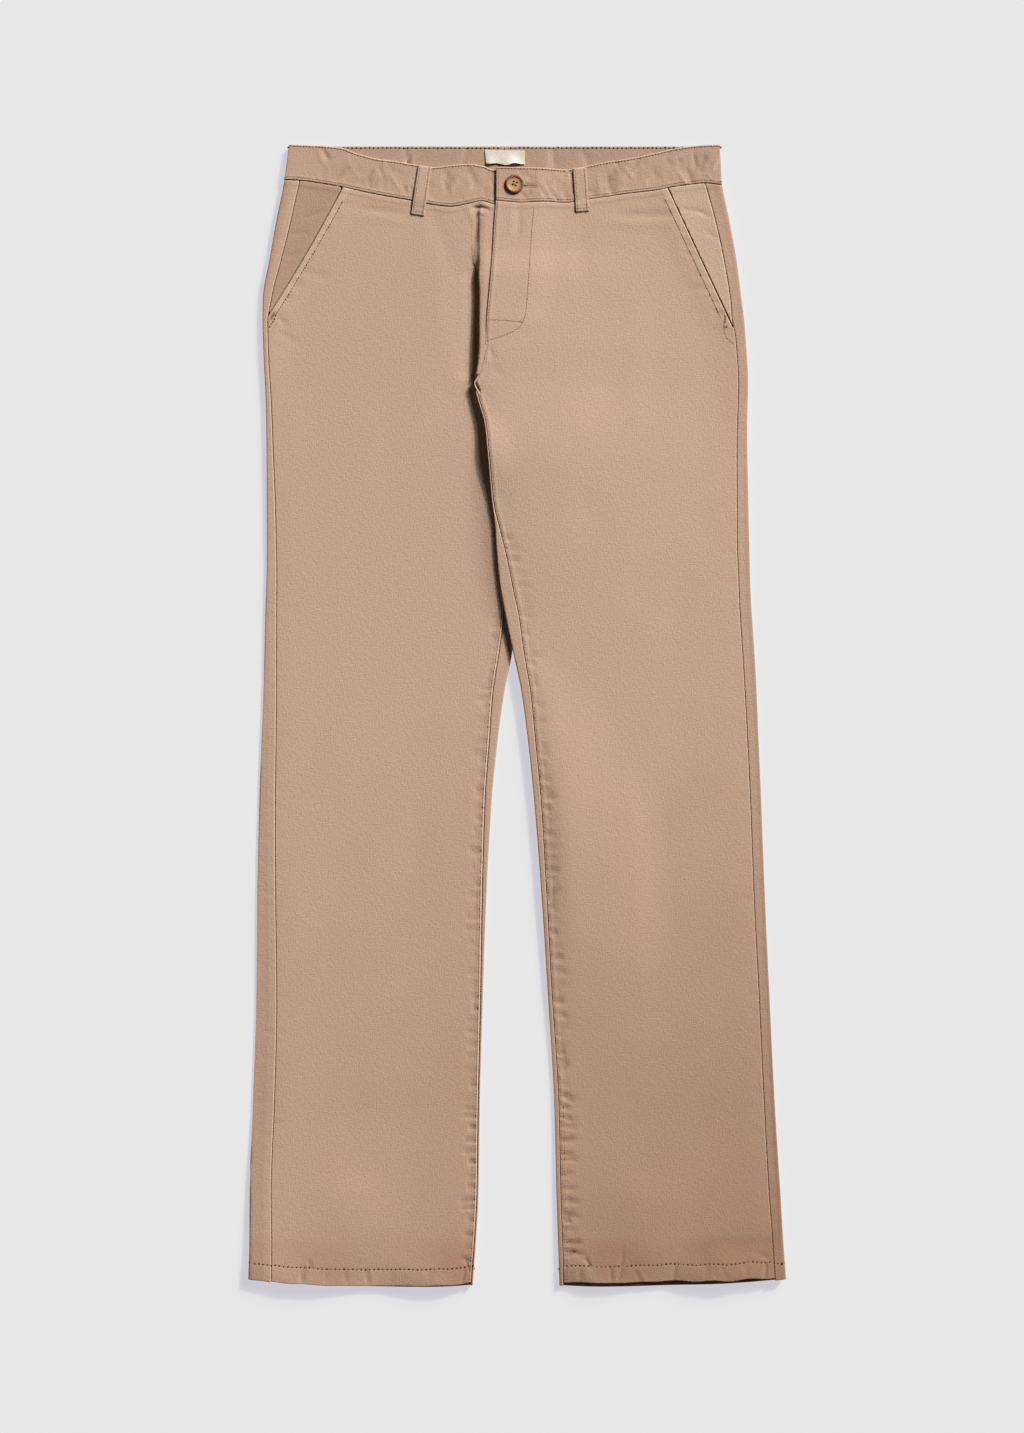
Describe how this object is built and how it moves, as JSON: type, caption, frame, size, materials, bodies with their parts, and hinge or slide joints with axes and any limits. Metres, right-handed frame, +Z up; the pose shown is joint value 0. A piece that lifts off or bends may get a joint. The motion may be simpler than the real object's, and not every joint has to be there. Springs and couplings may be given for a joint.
{
  "type": "chino trousers",
  "caption": "Straight-leg chino trousers in khaki twill, laid out flat on their back with the waistband buttoned and the fly closed.",
  "frame": {"origin": "on the surface that the trousers lie on, under the middle of their bounding box", "axes": "+Z up out of the surface through the front of the garment, +Y from the hems to the waistband, +X towards the wearer's left leg"},
  "size_m": [0.5037, 1.072, 0.0126],
  "materials": {
    "twill": "brushed cotton twill, matt, khaki",
    "label": "bare cream woven tape",
    "button": "satin, horn brown, with a lighter middle",
    "thread": "spun polyester sewing thread"
  },
  "bodies": {
    "root": {"front_right": "twill", "front_left": "twill", "back_right": "twill", "back_left": "twill", "pocket_facing_right": "twill", "pocket_facing_left": "twill", "waistband_right": "twill", "waistband_left": "twill", "belt_loop_front_right": "twill", "belt_loop_front_left": "twill", "belt_loop_back_right": "twill", "belt_loop_centre_back": "twill", "belt_loop_back_left": "twill", "label": "label", "button": "button"}
  },
  "joints": []
}
